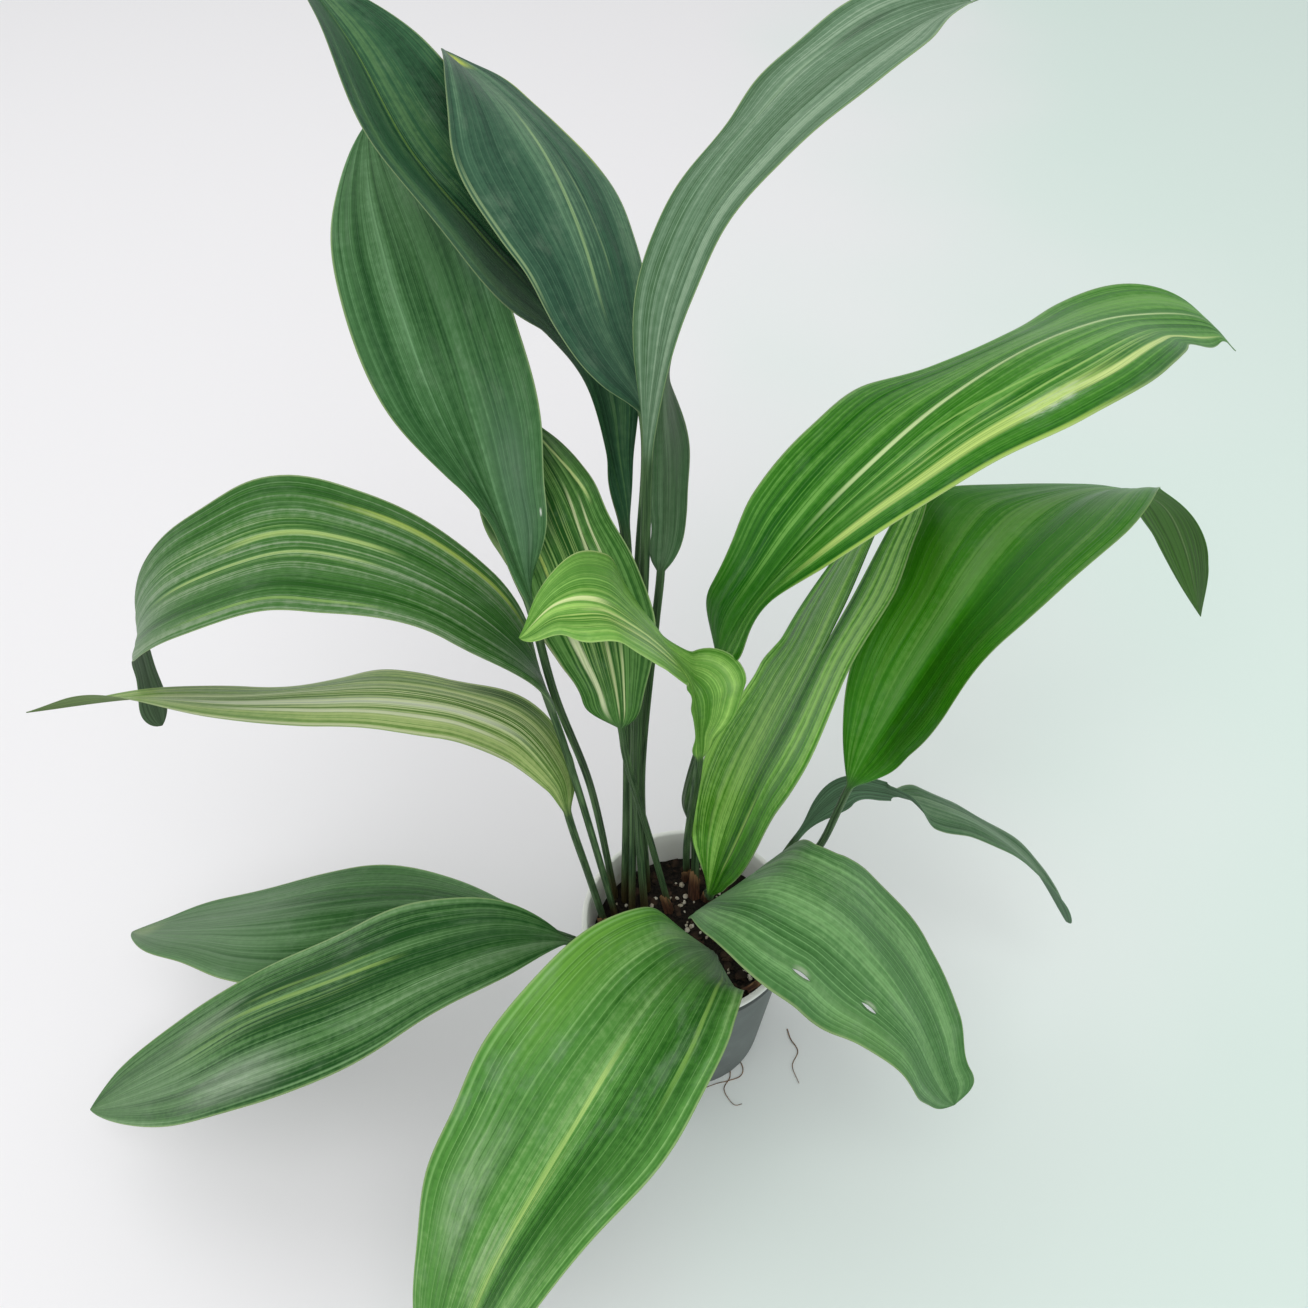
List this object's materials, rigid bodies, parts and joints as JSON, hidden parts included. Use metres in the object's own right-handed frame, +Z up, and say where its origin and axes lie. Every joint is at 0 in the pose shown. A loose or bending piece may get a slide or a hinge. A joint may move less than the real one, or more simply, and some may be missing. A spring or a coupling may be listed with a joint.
{
  "type": "potted cast iron plant",
  "caption": "Bushy foliage plant with long arching strap blades on slender stalks, some streaked with cream, standing in a round tapered nursery pot of potting mix.",
  "frame": {"origin": "centre of the pot's underside, on the surface that it stands on", "axes": "+Z up; +X to the right and -Y towards the viewer in the picture"},
  "size_m": [0.762, 0.6309, 0.6867],
  "materials": {
    "pot_plastic": "matte",
    "potting_mix": "matte",
    "leaf": "satin"
  },
  "bodies": {
    "root": {"pot": "pot_plastic", "soil": "potting_mix", "leaf_back_left_high": "leaf", "leaf_back_left_inner": "leaf", "leaf_left_upright": "leaf", "leaf_back_right_high": "leaf", "leaf_back_middle": "leaf", "leaf_right_high": "leaf", "leaf_right_middle": "leaf", "leaf_centre_striped": "leaf", "leaf_centre_twisted": "leaf", "leaf_left_arched": "leaf", "leaf_left_long": "leaf", "leaf_lower_left_back": "leaf", "leaf_lower_left_front": "leaf", "leaf_front_broad": "leaf", "leaf_lower_right": "leaf", "leaf_centre_right_torn": "leaf", "leaf_right_thin": "leaf"}
  },
  "joints": []
}
